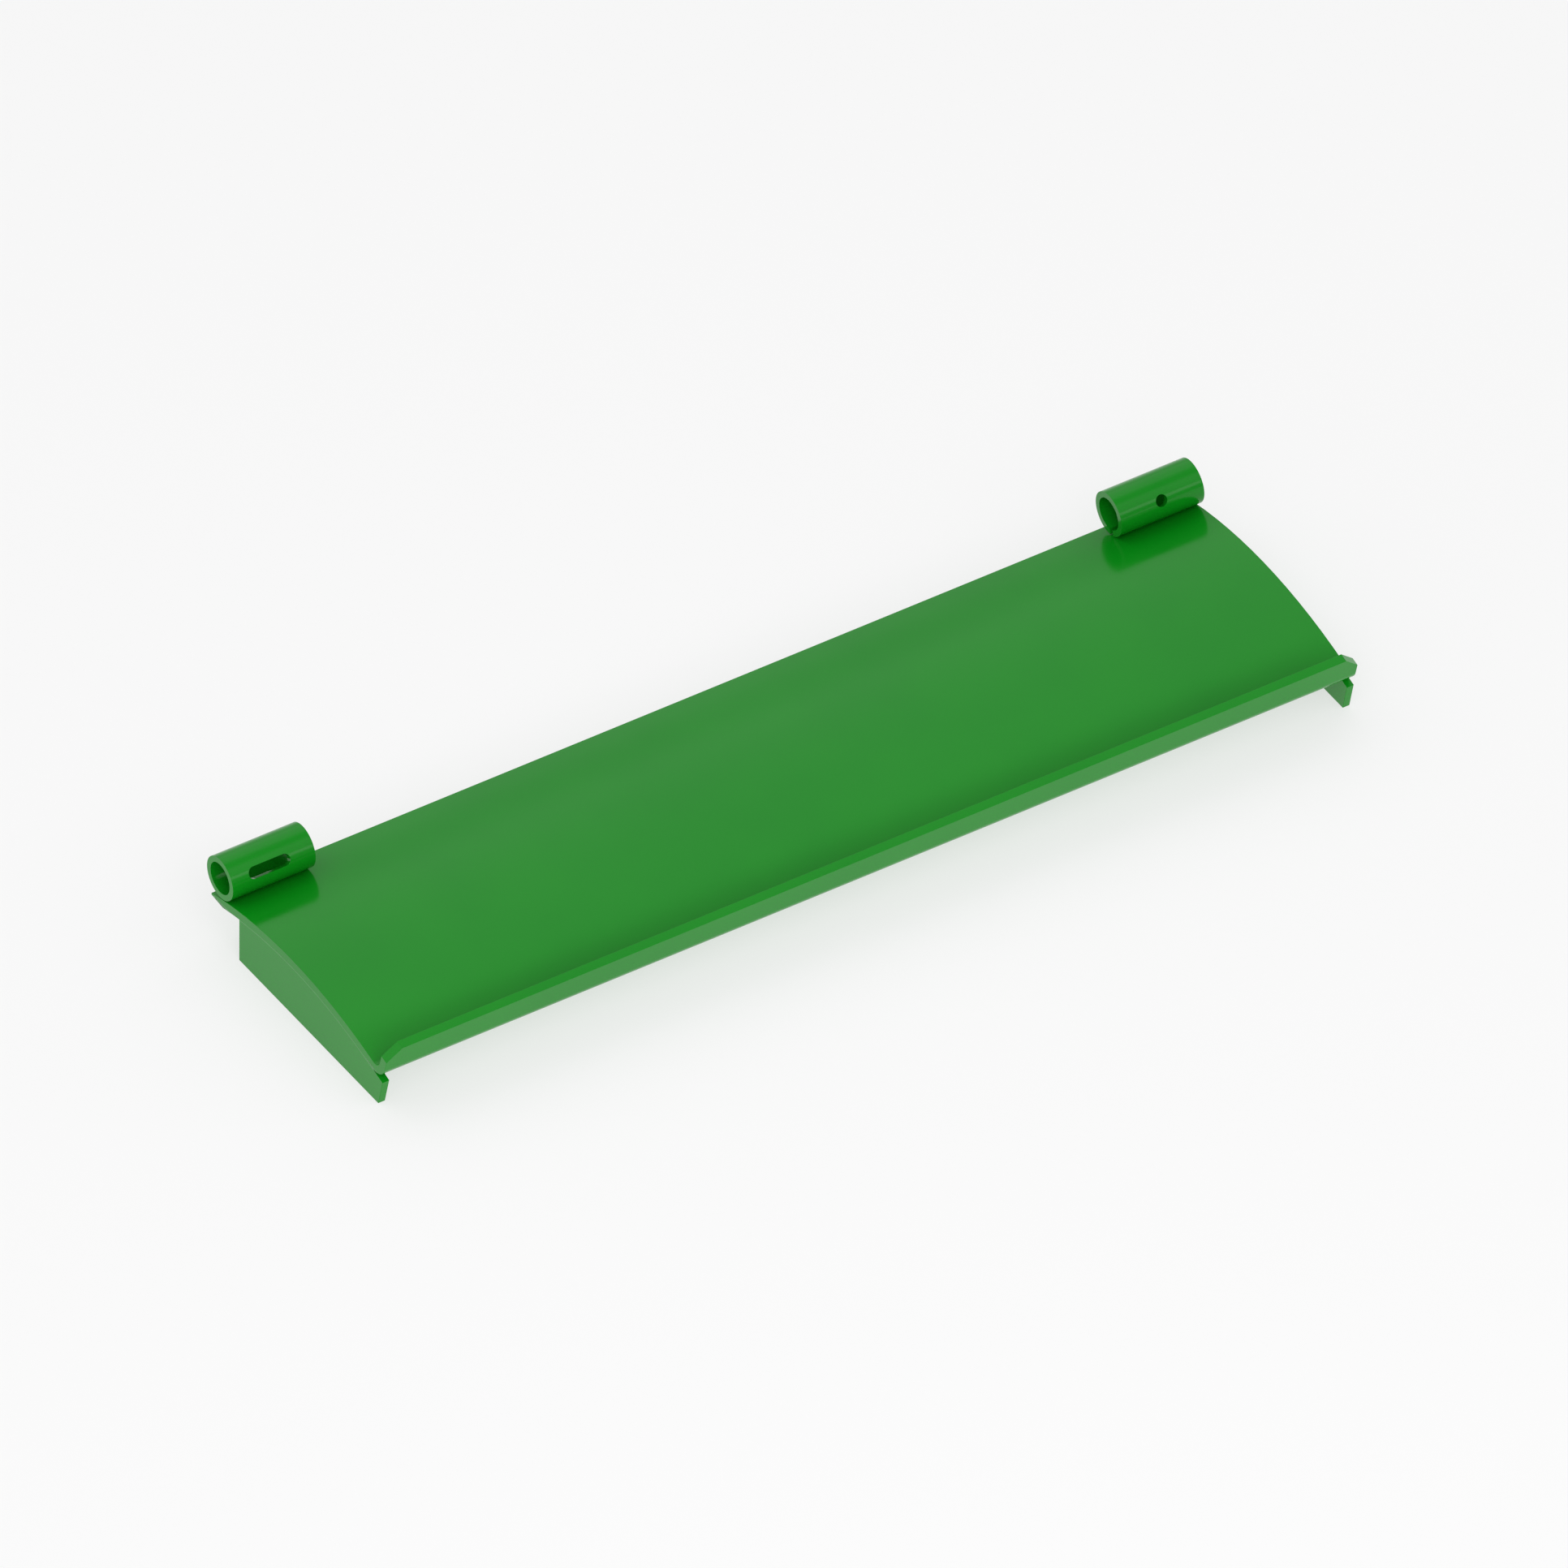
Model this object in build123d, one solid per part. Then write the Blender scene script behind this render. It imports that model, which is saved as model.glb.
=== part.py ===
from build123d import *
import os
from math import asin, cos, degrees, radians, sin, sqrt, tan

# Arched chute flap: a steel weldment of a bent plate, two end ribs and two hinge sleeves.
# Millimetres. X runs along the flap, +Y to the hinge side, +Z up.
# The origin is under the middle of the flap, on the surface that the ribs stand on.

# ---------------------------------------------------------------- plate
LENGTH = 705.0            # plate, over both ends
PLATE = 6.0               # plate thickness
CROWN_R = 320.0           # radius of the arched top face
BACK_REACH = 10.0         # back edge of the plate, behind the hinge axis
BACK_EDGE = 1.5           # thickness left at the bevelled back edge
BEVEL_START = -2.6        # where the bevel under the back edge starts, from the hinge axis

# ---------------------------------------------------------------- front lip
BEND_START = 17.5         # degrees in front of the crest where the front bend starts
BEND_R = 5.5              # inner radius of the bend
LIP_LEAN = 15.5           # degrees that the lip leans forward from upright
LIP_STRAIGHT = 17.8       # flat height of the lip above the bend
LIP_CHAMFER = 10.0        # 45 degree corners at both ends of the lip

# ---------------------------------------------------------------- ribs
RIB = 5.0                 # rib thickness
HINGE_HEIGHT = 50.0       # hinge axis above the bottom of the ribs
RIB_BACK = 22.0           # back edge of the ribs, in front of the hinge axis
RIB_FOOT = 160.0          # length of the straight bottom edge
RIB_LEAN = 14.0           # degrees that the front edge leans forward from upright

# ---------------------------------------------------------------- sleeves
SLEEVE_OD = 30.0
SLEEVE_BORE = 22.0
SLEEVE_LENGTH = 60.0
SEAT_ANGLE = 13.86        # degrees behind the crest where the sleeves sit over the plate
SEAT_GAP = 0.5            # root gap between sleeve and plate, bridged by the weld
PIN_ANGLE = 27.0          # degrees above level of the cross hole and of the slot
PIN_HOLE = 8.0            # cross hole in the right sleeve
SLOT_LENGTH = 30.0        # long slot in the left sleeve, overall
SLOT_WIDTH = 8.0
SLOT_CENTRE = 27.6        # middle of the slot, from the outer end of the sleeve
SPRING_SLOT_WIDTH = 3.5   # narrow slot in the right sleeve, open at its inner end
SPRING_SLOT_DEPTH = 12.0

# ---------------------------------------------------------------- welds
RIB_WELD = 4.0            # leg of the stitch welds
STITCH = 30.0             # length of one stitch
STITCH_ANGLES = (-13.0, -2.0, 8.0)   # middle of each stitch, degrees from the crest
SLEEVE_WELD_NEAR = 2.0    # the sleeve bead starts this far behind the narrowest gap
SLEEVE_WELD_FAR = 8.5     # and ends this far behind it
SLEEVE_WELD_END = 3.0     # bare length at both ends of the bead

# ---------------------------------------------------------------- worked out from the above
HALF = LENGTH / 2
SLEEVE_R = SLEEVE_OD / 2
UNDER_R = CROWN_R - PLATE
SEAT_R = CROWN_R + SEAT_GAP + SLEEVE_R   # arch centre to hinge axis


def polar(radius, angle):
    """Offset from a centre: radius at an angle in degrees from straight up, + to the back."""
    return radius * sin(radians(angle)), radius * cos(radians(angle))


def lip_offset(along, across):
    """Offset of a point of the lip from the bend's centre: up along the lip, forward across it."""
    lean = radians(LIP_LEAN)
    y = -(BEND_R + across) * cos(lean) - along * sin(lean)
    z = -(BEND_R + across) * sin(lean) + along * cos(lean)
    return y, z


def add(point, offset):
    """A point moved by an offset."""
    return point[0] + offset[0], point[1] + offset[1]


# Section points, first measured from the hinge axis, which is then placed so that
# the flap's box is centred on the origin.
ARCH_FROM_HINGE = polar(-SEAT_R, SEAT_ANGLE)
BEND_FROM_HINGE = add(ARCH_FROM_HINGE, polar(CROWN_R + BEND_R, -BEND_START))
FRONT_REACH = -add(BEND_FROM_HINGE, lip_offset(LIP_STRAIGHT, PLATE))[0]
HINGE = ((FRONT_REACH - SLEEVE_R) / 2, HINGE_HEIGHT)
ARCH = add(HINGE, ARCH_FROM_HINGE)
BEND_CENTRE = add(HINGE, BEND_FROM_HINGE)


def lip_point(along, across):
    """A point of the lip: up along it from the end of the bend, forward across it."""
    return add(BEND_CENTRE, lip_offset(along, across))


def arch_point(radius, angle):
    """A point of the section on a circle about the arch centre."""
    return add(ARCH, polar(radius, angle))


def arch_angle(radius, y):
    """The angle at which that circle passes over a given Y."""
    return degrees(asin((y - ARCH[0]) / radius))


def bend_point(radius, angle):
    """A point of the front bend, at an angle in degrees from straight down, + to the front."""
    a = radians(angle)
    return BEND_CENTRE[0] - radius * sin(a), BEND_CENTRE[1] - radius * cos(a)


def section(edges, length, x=0.0):
    """The closed outline in the YZ plane, drawn out to a length along X, centred on x."""
    face = make_face(edges)
    return extrude(Plane.YZ.offset(x - length / 2) * face, length)


def arch_arc(radius, start, end):
    """An arc about the arch centre from one angle to another."""
    return ThreePointArc(arch_point(radius, start), arch_point(radius, (start + end) / 2),
                         arch_point(radius, end))


def bend_arc(radius, start, end):
    """An arc about the bend centre from one angle to another."""
    return ThreePointArc(bend_point(radius, start), bend_point(radius, (start + end) / 2),
                         bend_point(radius, end))


def lip_corner(side):
    """The 45 degree cut at one end of the lip: a wedge across the sheet, side is -1 or +1."""
    reach = 2 * PLATE
    top = lip_point(LIP_STRAIGHT, PLATE / 2)
    out = (0, -cos(radians(LIP_LEAN)), -sin(radians(LIP_LEAN)))
    across = Plane(origin=(side * HALF, *top), x_dir=(1, 0, 0), z_dir=out)
    far = LIP_CHAMFER + reach
    wedge = Polyline((side * reach, reach), (side * reach, -far), (-side * far, reach), close=True)
    return extrude(across * make_face(wedge), PLATE, both=True)


def slide_plate():
    """Arched plate: arch, front bend and lip in one sheet, with a bevel under its back edge."""
    bend_end = 90.0 - LIP_LEAN
    tip_top = arch_angle(CROWN_R, HINGE[0] + BACK_REACH)
    bevel = arch_angle(UNDER_R, HINGE[0] + BEVEL_START)
    top_y, top_z = arch_point(CROWN_R, tip_top)
    inner = lip_point(LIP_STRAIGHT, 0)
    outer = lip_point(LIP_STRAIGHT, PLATE)
    edges = [
        arch_arc(CROWN_R, tip_top, -BEND_START),
        bend_arc(BEND_R, -BEND_START, bend_end),
        Line(lip_point(0, 0), inner),
        Line(inner, outer),
        Line(outer, lip_point(0, PLATE)),
        bend_arc(BEND_R + PLATE, bend_end, -BEND_START),
        arch_arc(UNDER_R, -BEND_START, bevel),
        Line(arch_point(UNDER_R, bevel), (top_y, top_z - BACK_EDGE)),
        Line((top_y, top_z - BACK_EDGE), (top_y, top_z)),
    ]
    plate = section(edges, LENGTH)
    return plate - lip_corner(-1) - lip_corner(1)


def rib(side):
    """End rib: follows the underside of the arch, then its tangent to a nose under the bend."""
    back_y = HINGE[0] - RIB_BACK
    foot_y = back_y - RIB_FOOT
    start_y, start_z = arch_point(UNDER_R, -BEND_START)
    lean = tan(radians(RIB_LEAN))
    fall = tan(radians(BEND_START))
    nose_z = (start_z - (start_y - foot_y) * fall) / (1 + lean * fall)
    nose_y = foot_y - nose_z * lean
    back_angle = arch_angle(UNDER_R, back_y)
    edges = [
        Line((back_y, 0), (foot_y, 0)),
        Line((foot_y, 0), (nose_y, nose_z)),
        Line((nose_y, nose_z), (start_y, start_z)),
        arch_arc(UNDER_R, -BEND_START, back_angle),
        Line(arch_point(UNDER_R, back_angle), (back_y, 0)),
    ]
    return section(edges, RIB, side * (HALF - RIB / 2))


def along_x(radius, length, x):
    """A round bar on the hinge axis."""
    return Pos(x, *HINGE) * Rot(0, 90, 0) * Cylinder(radius, length)


def sleeve(side):
    """Plain hinge sleeve, flush with one end of the plate."""
    x = side * (HALF - SLEEVE_LENGTH / 2)
    return along_x(SLEEVE_R, SLEEVE_LENGTH, x) - along_x(SLEEVE_BORE / 2, SLEEVE_LENGTH + 2, x)


def pin_plane(x):
    """Plane through the hinge axis, facing the way that the cross hole and slot point."""
    a = radians(PIN_ANGLE)
    return Plane(origin=(x, *HINGE), x_dir=(1, 0, 0), z_dir=(0, -cos(a), sin(a)))


def left_sleeve():
    """Slotted sleeve: the long slot goes through both walls."""
    x = -HALF + SLOT_CENTRE
    slot = SlotOverall(SLOT_LENGTH, SLOT_WIDTH)
    return sleeve(-1) - extrude(pin_plane(x) * slot, SLEEVE_OD, both=True)


def right_sleeve():
    """Pinned sleeve: a cross hole, and a narrow slot in the seat side of its inner end."""
    x = HALF - SLEEVE_LENGTH / 2
    hole = extrude(pin_plane(x) * Circle(PIN_HOLE / 2), SLEEVE_OD, both=True)
    down = polar(1, SEAT_ANGLE)
    seat = Plane(origin=(HALF - SLEEVE_LENGTH, *HINGE), x_dir=(1, 0, 0), z_dir=(0, -down[0], -down[1]))
    narrow = seat * Rectangle(2 * SPRING_SLOT_DEPTH, SPRING_SLOT_WIDTH)
    return sleeve(1) - hole - extrude(narrow, SLEEVE_OD)


def sleeve_under(y):
    """The point of the sleeve's lower outside surface at a given Y."""
    return y, HINGE[1] - sqrt(SLEEVE_R ** 2 - (y - HINGE[0]) ** 2)


def sleeve_weld(side):
    """Fillet bead in the groove between the back of a sleeve and the plate."""
    contact = arch_point(CROWN_R, SEAT_ANGLE)[0]
    length = SLEEVE_LENGTH - 2 * SLEEVE_WELD_END
    near_y = contact + SLEEVE_WELD_NEAR
    far_y = contact + SLEEVE_WELD_FAR
    near_a = arch_angle(CROWN_R, near_y)
    far_a = arch_angle(CROWN_R, far_y)
    near_low = arch_point(CROWN_R, near_a)
    far_low = arch_point(CROWN_R, far_a)
    near_high = sleeve_under(near_y)
    far_high = sleeve_under(far_y)
    mid_y = (near_y + far_y) / 2
    edges = [
        arch_arc(CROWN_R, near_a, far_a),
        ThreePointArc(far_low, (far_y + 1.0, (far_low[1] + far_high[1]) / 2), far_high),
        ThreePointArc(far_high, sleeve_under(mid_y), near_high),
        Line(near_high, near_low),
    ]
    return section(edges, length, side * (HALF - SLEEVE_LENGTH / 2))


def rib_weld(side, middle):
    """One stitch bead in the corner between a rib's inner face and the underside of the plate."""
    x = side * (HALF - RIB)
    r = UNDER_R
    corner = (x, r)
    on_plate = (x - side * RIB_WELD, r)
    on_rib = (x, r - RIB_WELD)
    bulge = (x - side * 0.6 * RIB_WELD, r - 0.6 * RIB_WELD)
    outline = [Line(corner, on_plate), ThreePointArc(on_plate, bulge, on_rib), Line(on_rib, corner)]
    span = degrees(STITCH / UNDER_R)
    start = middle - span / 2
    radial = polar(1, start)
    plane = Plane(origin=(0, *ARCH), x_dir=(1, 0, 0), z_dir=(0, -radial[1], radial[0]))
    axis = Axis((0, *ARCH), (-1, 0, 0))
    return revolve(plane * make_face(outline), axis=axis, revolution_arc=span)


def build():
    """Every node of the flap, by name."""
    nodes = {
        "slide_plate": slide_plate(),
        "left_rib": rib(-1),
        "right_rib": rib(1),
        "left_sleeve": left_sleeve(),
        "right_sleeve": right_sleeve(),
    }
    for name, side in (("left", -1), ("right", 1)):
        nodes[f"{name}_sleeve_weld"] = sleeve_weld(side)
        for number, middle in enumerate(STITCH_ANGLES, start=1):
            nodes[f"{name}_rib_weld_{number}"] = rib_weld(side, middle)
    return nodes


def export(nodes):
    """One STEP file for each node."""
    os.makedirs("parts", exist_ok=True)
    for name, shape in nodes.items():
        solid = shape.solids()[0] if len(shape.solids()) == 1 else shape
        solid.label = name
        export_step(solid, f"parts/{name}.step")


NODES = build()
export(NODES)
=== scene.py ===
import math

import bmesh
import bpy
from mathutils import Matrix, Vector


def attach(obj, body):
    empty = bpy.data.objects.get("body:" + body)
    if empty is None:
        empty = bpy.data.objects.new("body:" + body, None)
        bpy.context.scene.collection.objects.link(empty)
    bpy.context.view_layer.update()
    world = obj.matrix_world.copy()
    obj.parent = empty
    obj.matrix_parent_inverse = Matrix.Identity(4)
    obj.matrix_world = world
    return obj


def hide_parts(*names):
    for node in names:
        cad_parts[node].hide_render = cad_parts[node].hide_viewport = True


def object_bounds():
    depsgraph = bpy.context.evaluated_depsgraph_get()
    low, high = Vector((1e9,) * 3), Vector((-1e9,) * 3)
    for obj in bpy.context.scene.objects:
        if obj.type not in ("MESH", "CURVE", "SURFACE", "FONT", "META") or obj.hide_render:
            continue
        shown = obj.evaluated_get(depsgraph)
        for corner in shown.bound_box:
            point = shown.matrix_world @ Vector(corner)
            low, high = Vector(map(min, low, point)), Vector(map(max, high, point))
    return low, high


# Arched chute flap: green painted weldment in a pale studio. Metres, in the frame of the CAD.
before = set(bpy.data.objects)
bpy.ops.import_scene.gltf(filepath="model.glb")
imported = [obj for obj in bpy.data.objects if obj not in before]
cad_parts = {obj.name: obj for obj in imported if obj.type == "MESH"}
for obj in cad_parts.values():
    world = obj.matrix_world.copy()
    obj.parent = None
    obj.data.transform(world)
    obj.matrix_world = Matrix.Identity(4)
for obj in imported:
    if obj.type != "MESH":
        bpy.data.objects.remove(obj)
CAD_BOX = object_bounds()

# ---------------------------------------------------------------- sizes, as in the CAD
HALF = 0.3525                     # half the length of the plate
ARCH = (0.0091746, -0.2757316)    # Y and Z of the arch's centre
CROWN_R = 0.320                   # top face of the plate
UNDER_R = 0.314                   # underside of the plate
HINGE = (0.0895437, 0.050)        # Y and Z of the hinge axis
SLEEVE_R = 0.015
SLEEVE_LENGTH = 0.060
SEAT_ANGLE = 13.86                # degrees behind the crest where a sleeve sits
RIB = 0.005                       # thickness of a rib
STITCH = 0.030                    # length of one stitch weld
STITCH_LEG = 0.004
STITCH_BULGE = 0.00124            # how far its face stands out of a hollow quarter circle
STITCH_ANGLES = (-13.0, -2.0, 8.0)   # middles of the stitches, in degrees behind the crest
SEAT_BEAD = 0.054                 # length of a sleeve's bead
SEAT_NEAR = 0.002                 # the bead's two sides, measured behind the seat
SEAT_FAR = 0.0085
SEAT_BULGE = 0.0008

# ---------------------------------------------------------------- paint
PAINT = (0.0025, 0.241, 0.0080)   # linear colour
PAINT_IOR = 1.345
SHEET_COAT = (0.16, 0.05)         # roughness, and strength of the orange peel
BEAD_COAT = (0.26, 0.12)
CLOUDS = ((0.35, 0.975, 0.0), (0.65, 1.025, 0.001))   # place in the noise, gain, added red
CLOUD_NOISE = (14.0, 3.0)         # features per metre, and detail
GLOSS_NOISE = (45.0, 4.0)
PEEL_NOISE = (420.0, 2.0)
NOISE_MIDDLE = (0.3, 0.7)         # where most of a noise's values lie
GLOSS_SPREAD = 0.02               # the roughness varies by this to both sides
PEEL_DEPTH = 0.0002
SEAM_HIGHLIGHT = (0.055, 0.300, 0.060, 1.0)   # painted highlight: a paler line along the top of a rib, just under the plate's edge
SEAM_HIGHLIGHT_DEPTH = 0.0011               # how far that line reaches down the rib
SEAM_HIGHLIGHT_FADE = 0.6                   # part of that depth below which it fades out
SEAM_HIGHLIGHT_FRONT = -0.087               # Y where it ends: the rib parts from the plate there

# ---------------------------------------------------------------- edges
JOIN_REACH = 2e-6                 # split vertices nearer than this are joined
FLAT = math.radians(0.5)          # faces at less than this to each other become one
SHARP = math.radians(28)          # edges with a larger angle than this are rounded
SEAM_REACH = 0.0007               # but not those this near the underside of the arch
EDGE_RADIUS = 0.0003
SLEEVE_EDGE = 0.00025
EDGE_STEPS = 3
WELD_REACH = 4e-6                 # doubled vertices of the rounding are joined
NORMAL_WEIGHT = 60

# ---------------------------------------------------------------- camera
AZIMUTH = -32.24
ELEVATION = 40.54
VIEW_WIDTH = 0.96258
AIM_RIGHT = 0.0003                # the picture's centre, from the centre of the object's box
AIM_UP = -0.0017
CAMERA_AWAY = 2.5
CLIP = (0.01, 50.0)


# ---------------------------------------------------------------- node helpers
def node(tree, kind, **values):
    """A new node with its properties and unlinked inputs set."""
    made = tree.nodes.new(kind)
    for name, value in values.items():
        if hasattr(made, name):
            setattr(made, name, value)
        else:
            made.inputs[name.replace("_", " ").title()].default_value = value
    return made


def math_step(tree, operation, first, second=None):
    """A math node of a socket, alone or with a number or another socket."""
    made = node(tree, "ShaderNodeMath", operation=operation)
    tree.links.new(first, made.inputs[0])
    if isinstance(second, float):
        made.inputs[1].default_value = second
    elif second is not None:
        tree.links.new(second, made.inputs[1])
    return made.outputs[0]


def map_range(tree, value, source, target=(0.0, 1.0), shape="LINEAR"):
    """Maps a socket from one range to another."""
    made = node(tree, "ShaderNodeMapRange", interpolation_type=shape, from_min=source[0],
                from_max=source[1], to_min=target[0], to_max=target[1])
    tree.links.new(value, made.inputs["Value"])
    return made.outputs["Result"]


def noise(tree, where, kind):
    """Noise in object space, from its features per metre and its detail."""
    made = node(tree, "ShaderNodeTexNoise", scale=kind[0], detail=kind[1])
    tree.links.new(where.outputs["Object"], made.inputs["Vector"])
    return made.outputs["Fac"]


def arch_radius(tree, position):
    """Distance of a position from the arch's axis, as a socket."""
    across = node(tree, "ShaderNodeVectorMath", operation="MULTIPLY_ADD")
    tree.links.new(position, across.inputs[0])
    across.inputs[1].default_value = (0.0, 1.0, 1.0)
    across.inputs[2].default_value = (0.0, -ARCH[0], -ARCH[1])
    radius = node(tree, "ShaderNodeVectorMath", operation="LENGTH")
    tree.links.new(across.outputs["Vector"], radius.inputs[0])
    return radius.outputs["Value"]


# ---------------------------------------------------------------- paint
def painted_seam_highlight(tree, where, colour):
    """Paints a highlight on a rib: a paler line along its top, just under the plate."""
    radius = arch_radius(tree, where.outputs["Object"])
    ends = (UNDER_R - SEAM_HIGHLIGHT_DEPTH, UNDER_R - SEAM_HIGHLIGHT_FADE * SEAM_HIGHLIGHT_DEPTH)
    # mask of the painted highlight: a band on the rib just below the plate's underside
    highlight_mask = map_range(tree, radius, ends, shape="SMOOTHSTEP")
    parts = tree.nodes.new("ShaderNodeSeparateXYZ")
    tree.links.new(where.outputs["Object"], parts.inputs["Vector"])
    behind = math_step(tree, "GREATER_THAN", parts.outputs["Y"], SEAM_HIGHLIGHT_FRONT)
    mix = node(tree, "ShaderNodeMix", data_type="RGBA")
    tree.links.new(math_step(tree, "MULTIPLY", highlight_mask, behind), mix.inputs["Factor"])
    tree.links.new(colour, mix.inputs["A"])
    mix.inputs["B"].default_value = SEAM_HIGHLIGHT
    return mix.outputs["Result"]


def cloudy_colour(tree, where):
    """The paint's colour, with faint clouds in it."""
    ramp = tree.nodes.new("ShaderNodeValToRGB")
    for stop, (place, gain, red) in zip(ramp.color_ramp.elements, CLOUDS):
        stop.position = place
        stop.color = (PAINT[0] * gain + red, PAINT[1] * gain, PAINT[2] * gain, 1.0)
    tree.links.new(noise(tree, where, CLOUD_NOISE), ramp.inputs["Fac"])
    return ramp.outputs["Color"]


def green_paint(name, coat, seam=False):
    """Sprayed gloss enamel: faint clouds in its colour and gloss, and orange peel."""
    rough, peel = coat
    material = bpy.data.materials.new(name)
    material.use_nodes = True
    tree = material.node_tree
    shader = tree.nodes["Principled BSDF"]
    shader.inputs["IOR"].default_value = PAINT_IOR
    where = tree.nodes.new("ShaderNodeTexCoord")

    colour = cloudy_colour(tree, where)
    # with seam set, a painted highlight along the rib's top is mixed into the colour
    if seam:
        colour = painted_seam_highlight(tree, where, colour)
    tree.links.new(colour, shader.inputs["Base Color"])

    clouds = noise(tree, where, GLOSS_NOISE)
    gloss = map_range(tree, clouds, NOISE_MIDDLE, (rough - GLOSS_SPREAD, rough + GLOSS_SPREAD))
    tree.links.new(gloss, shader.inputs["Roughness"])

    waves = node(tree, "ShaderNodeBump", strength=peel, distance=PEEL_DEPTH)
    tree.links.new(noise(tree, where, PEEL_NOISE), waves.inputs["Height"])
    tree.links.new(waves.outputs["Normal"], shader.inputs["Normal"])
    return material


# ---------------------------------------------------------------- carried-over CAD nodes
def modifier(piece, kind, **values):
    """Adds a modifier with its settings."""
    made = piece.modifiers.new(kind.title(), kind)
    for name, value in values.items():
        setattr(made, name, value)


def mesh_group(name):
    """An empty node group for a mesh, with its input and output nodes."""
    group = bpy.data.node_groups.new(name, "GeometryNodeTree")
    group.interface.new_socket("Geometry", in_out="INPUT", socket_type="NodeSocketGeometry")
    group.interface.new_socket("Geometry", in_out="OUTPUT", socket_type="NodeSocketGeometry")
    return group, group.nodes.new("NodeGroupInput"), group.nodes.new("NodeGroupOutput")


def pass_mesh(group, *chain):
    """Links the mesh through a chain of nodes."""
    for a, b in zip(chain, chain[1:]):
        group.links.new(a.outputs[0], b.inputs[0])


def smooth_faces():
    """A node group that joins the split vertices of a mesh and shades all of it smooth."""
    group, start, end = mesh_group("JoinAndSmooth")
    join = node(group, "GeometryNodeMergeByDistance", distance=JOIN_REACH)
    edges = node(group, "GeometryNodeSetShadeSmooth", domain="EDGE")
    faces = group.nodes.new("GeometryNodeSetShadeSmooth")
    pass_mesh(group, start, join, edges, faces, end)
    return group


def choose_edges():
    """A node group that picks the edges to round, and keeps those in the seam as creases."""
    group, start, end = mesh_group("ChooseEdges")
    angle = group.nodes.new("GeometryNodeInputMeshEdgeAngle")
    place = group.nodes.new("GeometryNodeInputPosition")
    sharp = math_step(group, "GREATER_THAN", angle.outputs["Unsigned Angle"], SHARP)
    off = math_step(group, "SUBTRACT", arch_radius(group, place.outputs["Position"]), UNDER_R)
    free = math_step(group, "GREATER_THAN", math_step(group, "ABSOLUTE", off), SEAM_REACH)
    store = node(group, "GeometryNodeStoreNamedAttribute", data_type="FLOAT", domain="EDGE")
    store.inputs["Name"].default_value = "bevel_weight_edge"
    group.links.new(math_step(group, "MULTIPLY", sharp, free), store.inputs["Value"])
    crease = node(group, "GeometryNodeSetShadeSmooth", domain="EDGE", shade_smooth=False)
    seam = math_step(group, "GREATER_THAN", math_step(group, "SUBTRACT", sharp, free), 0.5)
    group.links.new(seam, crease.inputs["Selection"])
    pass_mesh(group, start, store, crease, end)
    return group


def finish_edges(piece, smooth_group, edge_group, radius):
    """Rounds a CAD node's edges as the paint does, and keeps its flat faces flat."""
    modifier(piece, "NODES", node_group=smooth_group)
    modifier(piece, "DECIMATE", decimate_type="DISSOLVE", angle_limit=FLAT)
    modifier(piece, "NODES", node_group=edge_group)
    modifier(piece, "BEVEL", width=radius, segments=EDGE_STEPS, limit_method="WEIGHT",
             miter_outer="MITER_ARC")
    modifier(piece, "WELD", merge_threshold=WELD_REACH)
    modifier(piece, "WEIGHTED_NORMAL", keep_sharp=True, weight=NORMAL_WEIGHT)


def dress_frame(paint, rib_paint_and_highlight):
    """The plate, ribs and sleeves keep their CAD shape and get paint and rounded edges."""
    smooth_group = smooth_faces()
    edge_group = choose_edges()
    finishes = (("slide_plate", paint, EDGE_RADIUS),
                ("left_rib", rib_paint_and_highlight, EDGE_RADIUS), ("right_rib", rib_paint_and_highlight, EDGE_RADIUS),
                ("left_sleeve", paint, SLEEVE_EDGE), ("right_sleeve", paint, SLEEVE_EDGE))
    for name, coat, radius in finishes:
        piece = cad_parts[name]
        piece.data.materials[0] = coat
        finish_edges(piece, smooth_group, edge_group, radius)


# ---------------------------------------------------------------- weld beads
RIPPLE = 0.0019                   # one ripple of a bead
RIPPLE_DEPTH = 0.00022
RIPPLE_LEVEL = 0.7                # part of a ripple's height that lies under the bead's plain face
RIPPLE_SWEEP = 0.0009             # how far the middle of a ripple lags behind its sides
DRIFTS = ((0.0003, 410, 1), (0.0002, 930, 2))   # uneven travel: reach, radians per metre, turn
SWAY = 0.035                      # part by which a bead's width varies
SWAY_TURN = 260                   # radians per metre of that
BEAD_STEP = 0.00024
BEAD_TIP = 0.0034                 # length over which a bead swells at its ends
TIP_POWER = 0.7
TIP_SIZE = 0.02                   # size of the very ends, as part of the bead's own
ACROSS = 12                       # strips across a bead's face


def tip_scale(s, length):
    """0 at the very ends of a bead, 1 along its body."""
    reach = min(s, length - s) / BEAD_TIP
    if reach >= 1:
        return 1.0
    return (1 - (1 - max(0.0, reach)) ** 2) ** TIP_POWER


def ripple(s, t, seed):
    """Height of the solidified ripples at s along a bead and t across it."""
    lag = RIPPLE_SWEEP * (1 - (2 * t - 1) ** 2)
    drift = sum(reach * math.sin(s * rate + turn * seed) for reach, rate, turn in DRIFTS)
    phase = ((s + lag + drift) / RIPPLE) % 1.0
    crest = 1 - (2 * phase - 1) ** 2
    return RIPPLE_DEPTH * (crest - RIPPLE_LEVEL) * math.sin(math.pi * t)


def bead_ring(mesh, s, length, place, outline, seed):
    """The vertices of a bead at s along it: its root, then its face from side to side."""
    size = max(tip_scale(s, length), TIP_SIZE)
    width = size * (1 + SWAY * math.sin(s * SWAY_TURN + seed))
    ring = [mesh.verts.new(place(s, 0.0, 0.0))]
    for j in range(ACROSS + 1):
        t = j / ACROSS
        (u, v), (du, dv) = outline(t)
        lift = ripple(s, t, seed) * size
        ring.append(mesh.verts.new(place(s, u * width + du * lift, v * width + dv * lift)))
    return ring


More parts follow.
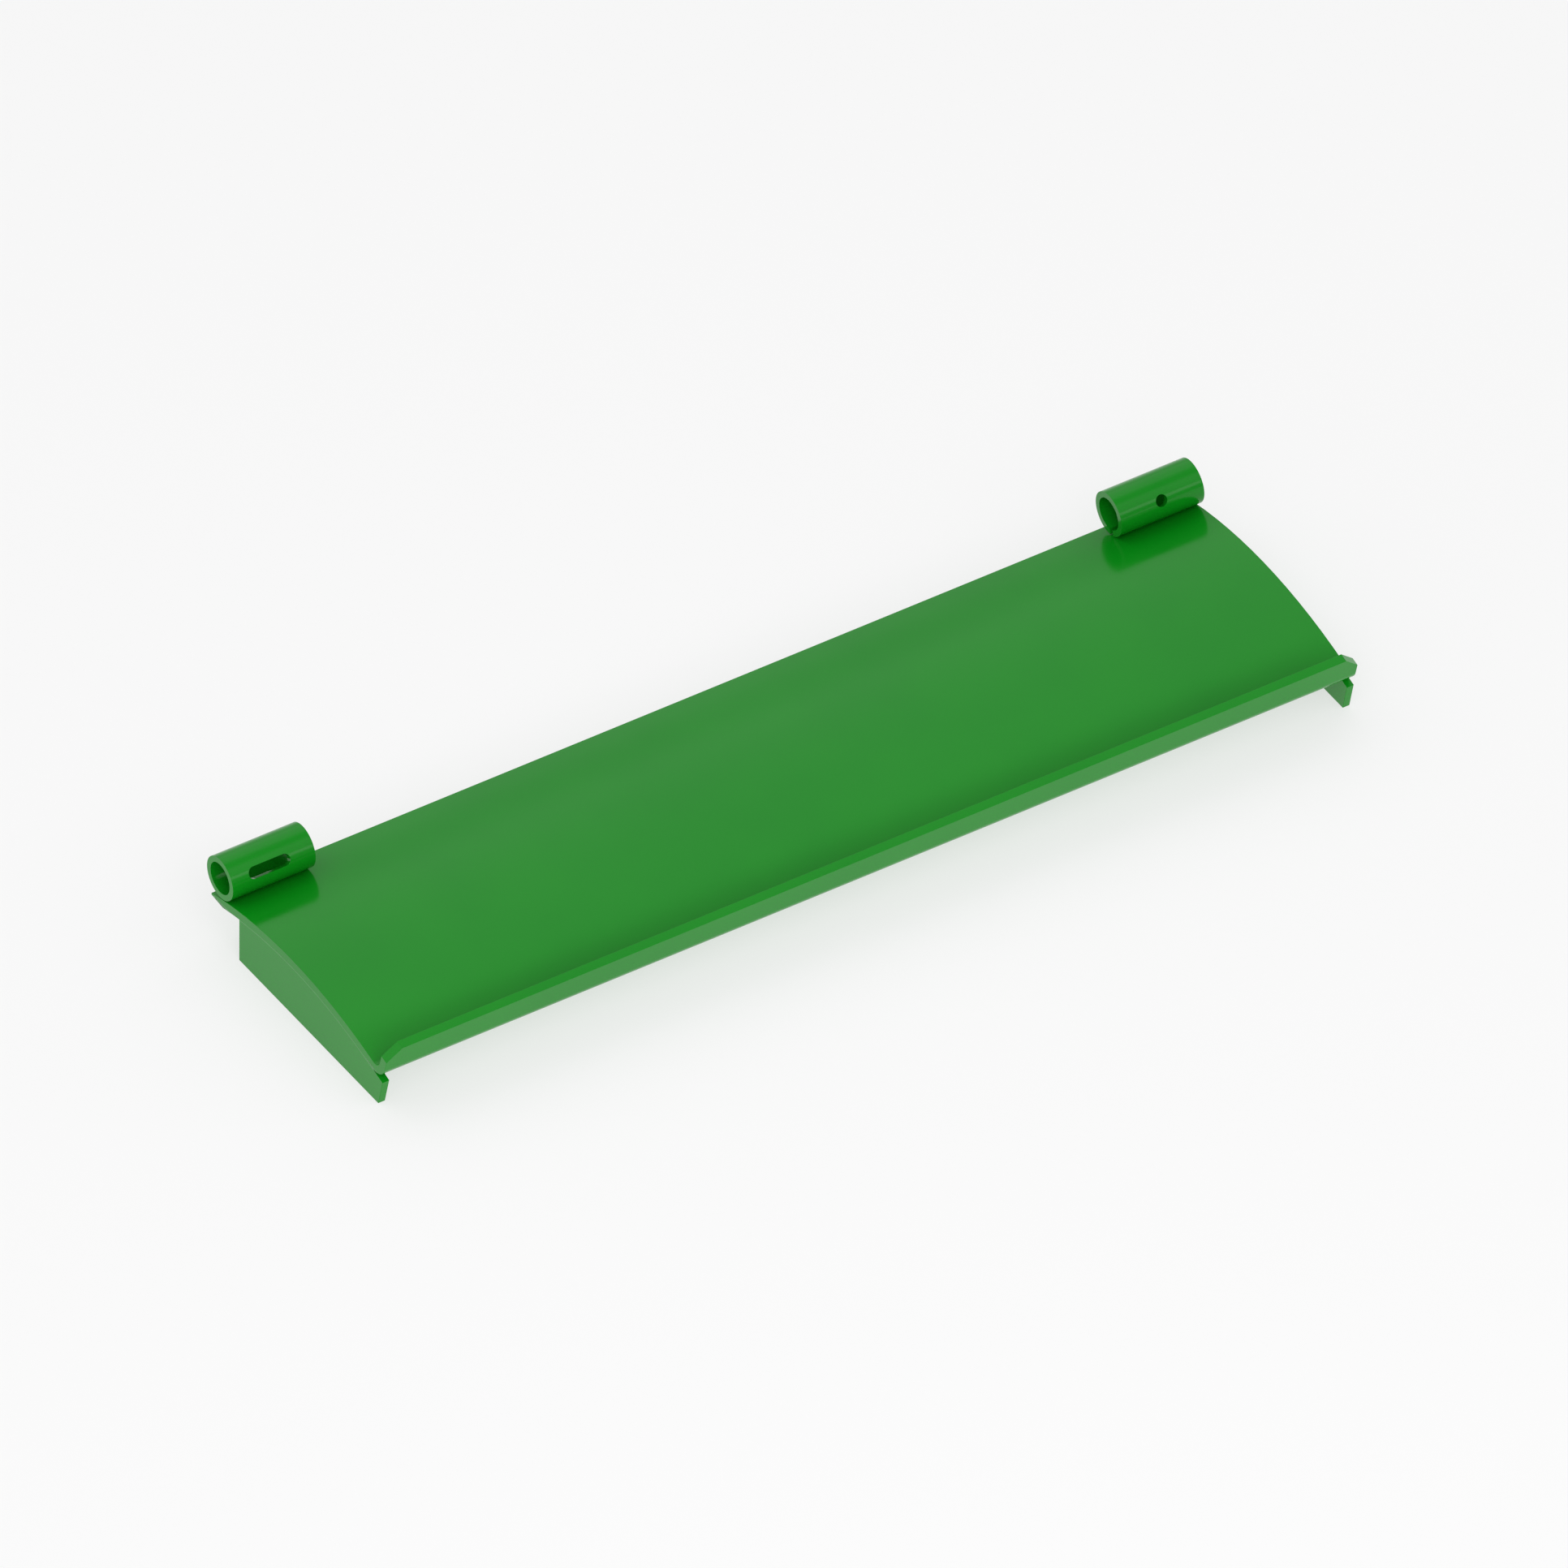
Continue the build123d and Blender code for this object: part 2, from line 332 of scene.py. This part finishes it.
def bead_mesh(name, length, place, outline, seed):
    """Rings along a bead, joined by quads and closed by a face at each end."""
    mesh = bmesh.new()
    count = round(length / BEAD_STEP)
    rings = [bead_ring(mesh, length * i / count, length, place, outline, seed)
             for i in range(count + 1)]
    for a, b in zip(rings, rings[1:]):
        for j in range(len(a)):
            k = (j + 1) % len(a)
            mesh.faces.new((a[j], a[k], b[k], b[j]))
    mesh.faces.new(rings[0][::-1])
    mesh.faces.new(rings[-1])
    bmesh.ops.recalc_face_normals(mesh, faces=mesh.faces)
    for face in mesh.faces:
        face.smooth = len(face.verts) == 4
    data = bpy.data.meshes.new(name)
    mesh.to_mesh(data)
    mesh.free()
    return data


def bead(stands_for, length, place, outline, seed, paint):
    """A rippled weld bead in place of its CAD node.

    outline(t) gives a point of its face and the outward direction there, in the plane across
    the bead and measured from its root. place(s, u, v) puts such a point in the frame.
    """
    name = f"{stands_for}_bead"
    data = bead_mesh(name, length, place, outline, seed)
    data.materials.append(paint)
    piece = bpy.data.objects.new(name, data)
    bpy.context.collection.objects.link(piece)
    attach(piece, "root")
    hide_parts(stands_for)


def fillet_outline(leg, bulge):
    """Face of a corner bead with equal legs: from one leg's toe to the other's."""
    def outline(t):
        a = t * math.pi / 2
        u = leg * (1 - math.sin(a))
        v = leg * (1 - math.cos(a))
        push = bulge * math.sin(math.pi * t)
        return (u + push, v + push), (math.sqrt(0.5), math.sqrt(0.5))
    return outline


def rib_bead(hand, side, number, paint):
    """Stitch bead in the corner between a rib's inner face and the underside of the plate."""
    middle = math.radians(STITCH_ANGLES[number - 1])
    start = middle - STITCH / UNDER_R / 2

    def place(s, u, v):
        angle = start + s / UNDER_R
        r = UNDER_R - v
        x = side * (HALF - RIB - u)
        return x, ARCH[0] + r * math.sin(angle), ARCH[1] + r * math.cos(angle)

    outline = fillet_outline(STITCH_LEG, STITCH_BULGE)
    bead(f"{hand}_rib_weld_{number}", STITCH, place, outline, 3 * number + side, paint)


def on_crown(y):
    """The point of the plate's top face at y, as Y and Z."""
    return y, ARCH[1] + math.sqrt(CROWN_R ** 2 - (y - ARCH[0]) ** 2)


def seat_outline():
    """Face of the bead in the groove behind a sleeve, from the plate up to the sleeve."""
    seat_y = ARCH[0] + CROWN_R * math.sin(math.radians(SEAT_ANGLE))
    far_y = seat_y + SEAT_FAR
    low = on_crown(far_y)[1]
    high = HINGE[1] - math.sqrt(SLEEVE_R ** 2 - (far_y - HINGE[0]) ** 2)
    root = on_crown(seat_y + SEAT_NEAR)

    def outline(t):
        z = low + (high - low) * t
        y = far_y + SEAT_BULGE * math.sin(math.pi * t)
        return (y - root[0], z - root[1]), (1.0, 0.0)
    return outline, root


def seat_bead(hand, side, paint):
    """Bead in the groove between the back of a sleeve and the plate."""
    outline, root = seat_outline()
    first = side * (HALF - SLEEVE_LENGTH / 2) - SEAT_BEAD / 2

    def place(s, u, v):
        return first + s, root[0] + u, root[1] + v

    bead(f"{hand}_sleeve_weld", SEAT_BEAD, place, outline, 11 + side, paint)


def weld_beads(paint):
    """All eight beads. Each has its own number as the seed of its ripples."""
    for hand, side in (("left", -1), ("right", 1)):
        seat_bead(hand, side, paint)
        for number in range(1, len(STITCH_ANGLES) + 1):
            rib_bead(hand, side, number, paint)


# ---------------------------------------------------------------- studio
# Brightness of the studio's walls and ceiling, by the angle from straight up, with + to the
# front: white sweep behind, soft boxes above, a gap between them, a strip low in front.
STUDIO = ((-180, 0.78), (-125, 0.78), (-98, 0.66), (-84, 0.62), (-70, 0.52), (-64, 0.58),
          (-57, 0.84), (-45, 0.86), (-20, 0.91), (-13, 0.64), (-3, 0.38), (12, 0.36), (19, 0.60),
          (27, 0.82), (45, 0.72), (59, 0.64), (62, 1.70), (70, 1.60), (75, 0.30), (95, 0.30),
          (112, 0.55), (180, 0.78))
STUDIO_GAIN = 1.2
FLOOR_REACH = 12.0
FLOOR_Z = -0.0002
FLOOR_GREY = 0.30                 # the rest of its white is its own light
FLOOR_LIGHT = 0.65
FLOOR_ROUGH = 0.9
FLOOR_SPECULAR = 0.1
SOFT_BOXES = (("KeyLight", (-1.2, -0.6, 2.2), 1.6, 2.4),   # name, place, size, watts
              ("FrontLight", (-0.6, -1.75, 1.5), 1.2, 9.5))


def studio_angle(tree):
    """The angle of a direction in the plane across the flap, from 0 to 1 for a whole turn."""
    where = tree.nodes.new("ShaderNodeTexCoord")
    parts = tree.nodes.new("ShaderNodeSeparateXYZ")
    tree.links.new(where.outputs["Generated"], parts.inputs["Vector"])
    forward = math_step(tree, "MULTIPLY", parts.outputs["Y"], -1.0)
    angle = math_step(tree, "ARCTAN2", forward, parts.outputs["Z"])
    return map_range(tree, angle, (-math.pi, math.pi))


def studio_world():
    """White studio, whose brightness depends on the angle in the plane across the flap."""
    world = bpy.data.worlds.new("Studio")
    bpy.context.scene.world = world
    world.use_nodes = True
    tree = world.node_tree
    ramp = tree.nodes.new("ShaderNodeValToRGB")
    elements = ramp.color_ramp.elements
    while len(elements) > 1:
        elements.remove(elements[-1])
    for number, (degrees, light) in enumerate(STUDIO):
        place = (degrees + 180) / 360
        stop = elements[0] if number == 0 else elements.new(place)
        stop.position = place
        stop.color = (light, light, light, 1.0)
    tree.links.new(studio_angle(tree), ramp.inputs["Fac"])
    sky = tree.nodes["Background"]
    sky.inputs["Strength"].default_value = STUDIO_GAIN
    tree.links.new(ramp.outputs["Color"], sky.inputs["Color"])


def pale_floor():
    """White studio floor with a light of its own, so that shadows stay faint."""
    mesh = bpy.data.meshes.new("Floor")
    corners = [(x * FLOOR_REACH, y * FLOOR_REACH, FLOOR_Z)
               for x, y in ((-1, -1), (1, -1), (1, 1), (-1, 1))]
    mesh.from_pydata(corners, [], [(0, 1, 2, 3)])
    floor = bpy.data.objects.new("Floor", mesh)
    bpy.context.collection.objects.link(floor)
    material = bpy.data.materials.new("FloorWhite")
    material.use_nodes = True
    shader = material.node_tree.nodes["Principled BSDF"]
    shader.inputs["Base Color"].default_value = (FLOOR_GREY, FLOOR_GREY, FLOOR_GREY, 1.0)
    shader.inputs["Roughness"].default_value = FLOOR_ROUGH
    shader.inputs["Specular IOR Level"].default_value = FLOOR_SPECULAR
    shader.inputs["Emission Color"].default_value = (1.0, 1.0, 1.0, 1.0)
    shader.inputs["Emission Strength"].default_value = FLOOR_LIGHT
    mesh.materials.append(material)


def turn_to(thing, back):
    """Turns a light or camera so that it looks against the direction back."""
    thing.rotation_mode = "QUATERNION"
    thing.rotation_quaternion = (-back).to_track_quat("-Z", "Y")


def soft_box(name, place, size, power):
    """A square soft light aimed at the flap."""
    data = bpy.data.lights.new(name, "AREA")
    data.shape = "SQUARE"
    data.size = size
    data.energy = power
    lamp = bpy.data.objects.new(name, data)
    lamp.location = place
    turn_to(lamp, Vector(place))
    bpy.context.collection.objects.link(lamp)


def camera():
    """A parallel view at the picture's angle, aimed at the middle of the object."""
    a = math.radians(AZIMUTH)
    e = math.radians(ELEVATION)
    back = Vector((math.sin(a) * math.cos(e), -math.cos(a) * math.cos(e), math.sin(e)))
    right = Vector((math.cos(a), math.sin(a), 0))
    up = Vector((-math.sin(a) * math.sin(e), math.cos(a) * math.sin(e), math.cos(e)))
    centre = (CAD_BOX[0] + CAD_BOX[1]) / 2
    data = bpy.data.cameras.new("Camera")
    data.type = "ORTHO"
    data.ortho_scale = VIEW_WIDTH
    data.clip_start, data.clip_end = CLIP
    eye = bpy.data.objects.new("Camera", data)
    eye.location = centre + right * AIM_RIGHT + up * AIM_UP + back * CAMERA_AWAY
    turn_to(eye, back)
    bpy.context.collection.objects.link(eye)
    bpy.context.scene.camera = eye


# ---------------------------------------------------------------- build
bpy.context.scene.view_settings.view_transform = "Standard"
sheet_paint = green_paint("GreenPaint", SHEET_COAT)
bead_paint = green_paint("GreenPaintOverWeld", BEAD_COAT)
# the ribs' paint carries a painted highlight along their top, under the plate
rib_paint_and_highlight = green_paint("GreenPaintRibPaintedHighlight", SHEET_COAT, seam=True)
dress_frame(sheet_paint, rib_paint_and_highlight)
weld_beads(bead_paint)
studio_world()
pale_floor()
for box in SOFT_BOXES:
    soft_box(*box)
camera()
